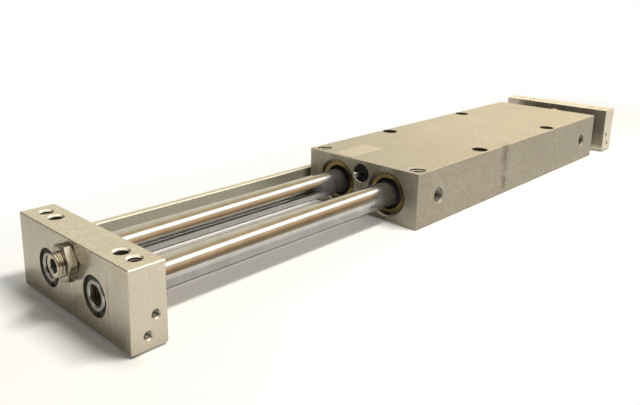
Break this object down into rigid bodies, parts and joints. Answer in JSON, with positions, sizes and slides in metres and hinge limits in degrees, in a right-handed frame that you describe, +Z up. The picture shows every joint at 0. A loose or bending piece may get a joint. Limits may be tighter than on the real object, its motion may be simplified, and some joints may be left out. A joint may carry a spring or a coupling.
{
  "type": "guided pneumatic cylinder",
  "caption": "Slide-unit cylinder: a long flat housing on through rods that carry an end plate at each end, with stop bolts, shock absorbers and a switch rail.",
  "frame": {"origin": "middle of the housing's bolt pattern, in the plane of its underside", "axes": "+X along the rods towards the plate nearer the housing, +Y towards the switch rail, +Z up from the housing's underside"},
  "size_m": [0.526, 0.103, 0.0385],
  "materials": {
    "housing": "satin anodised, slightly stained",
    "plate": "satin anodised",
    "rail": "drawn, satin anodised",
    "piston": "turned",
    "rod": "ground and hard chromed",
    "gland": "turned, dull",
    "bush": "sintered bronze",
    "wiper": "matte black",
    "seal": "matte black",
    "wear_ring": "filled plastic",
    "snap_ring": "spring steel",
    "absorber": "black oxide",
    "absorber_cap": "black oxide",
    "plunger": "polished",
    "stop_bolt": "nickel plated",
    "jam_nut": "nickel plated",
    "lock_ring": "black oxide",
    "rail_screw": "black oxide",
    "magnet": "nickel plated"
  },
  "bodies": {
    "housing": {"housing": "housing", "switch_magnet": "magnet", "near_front_gland": "gland", "near_front_wiper": "wiper", "near_front_bush": "bush", "near_front_rod_seal": "seal", "near_front_gland_ring": "seal", "near_front_snap_ring": "snap_ring", "far_front_gland": "gland", "far_front_wiper": "wiper", "far_front_bush": "bush", "far_front_rod_seal": "seal", "far_front_gland_ring": "seal", "far_front_snap_ring": "snap_ring", "front_absorber_body": "absorber", "front_absorber_cap": "absorber_cap", "near_rear_gland": "gland", "near_rear_wiper": "wiper", "near_rear_bush": "bush", "near_rear_rod_seal": "seal", "near_rear_gland_ring": "seal", "near_rear_snap_ring": "snap_ring", "far_rear_gland": "gland", "far_rear_wiper": "wiper", "far_rear_bush": "bush", "far_rear_rod_seal": "seal", "far_rear_gland_ring": "seal", "far_rear_snap_ring": "snap_ring", "rear_absorber_body": "absorber", "rear_absorber_cap": "absorber_cap"},
    "carriage": {"front_plate": "plate", "rear_plate": "plate", "near_front_rod": "rod", "near_rear_rod": "rod", "far_front_rod": "rod", "far_rear_rod": "rod", "near_front_lock_ring": "lock_ring", "near_rear_lock_ring": "lock_ring", "far_front_lock_ring": "lock_ring", "far_rear_lock_ring": "lock_ring", "near_piston": "piston", "near_piston_front_seal": "seal", "near_piston_rear_seal": "seal", "near_piston_wear_ring": "wear_ring", "far_piston": "piston", "far_piston_front_seal": "seal", "far_piston_rear_seal": "seal", "far_piston_wear_ring": "wear_ring", "switch_rail": "rail", "rail_screws": "rail_screw"},
    "front_plunger": {"front_absorber_plunger": "plunger"},
    "rear_plunger": {"rear_absorber_plunger": "plunger"},
    "front_stop_bolt": {"front_stop_bolt": "stop_bolt"},
    "rear_stop_bolt": {"rear_stop_bolt": "stop_bolt"},
    "front_jam_nut": {"front_jam_nut": "jam_nut"},
    "rear_jam_nut": {"rear_jam_nut": "jam_nut"}
  },
  "joints": [
    {"name": "carriage_slide", "type": "slide", "parent": "housing", "child": "carriage", "axis": [1, 0, 0], "range_m": [-0.0097, 0.1747]},
    {"name": "front_plunger_slide", "type": "slide", "parent": "housing", "child": "front_plunger", "axis": [1, 0, 0], "range_m": [0, 0.005], "stiffness_N_per_m": 400, "springref_m": -0.012},
    {"name": "rear_plunger_slide", "type": "slide", "parent": "housing", "child": "rear_plunger", "axis": [-1, 0, 0], "range_m": [0, 0.005], "stiffness_N_per_m": 400, "springref_m": -0.012},
    {"name": "front_stop_bolt_screw", "type": "slide", "parent": "carriage", "child": "front_stop_bolt", "axis": [-1, 0, 0], "range_m": [0, 0.006]},
    {"name": "rear_stop_bolt_screw", "type": "slide", "parent": "carriage", "child": "rear_stop_bolt", "axis": [1, 0, 0], "range_m": [0, 0.006]},
    {"name": "front_jam_nut_turn", "type": "hinge", "parent": "carriage", "child": "front_jam_nut", "pos_m": [-0.338, 0, 0.0277], "axis": [-1, 0, 0], "continuous": true},
    {"name": "rear_jam_nut_turn", "type": "hinge", "parent": "carriage", "child": "rear_jam_nut", "pos_m": [0.173, 0, 0.0277], "axis": [1, 0, 0], "continuous": true}
  ]
}
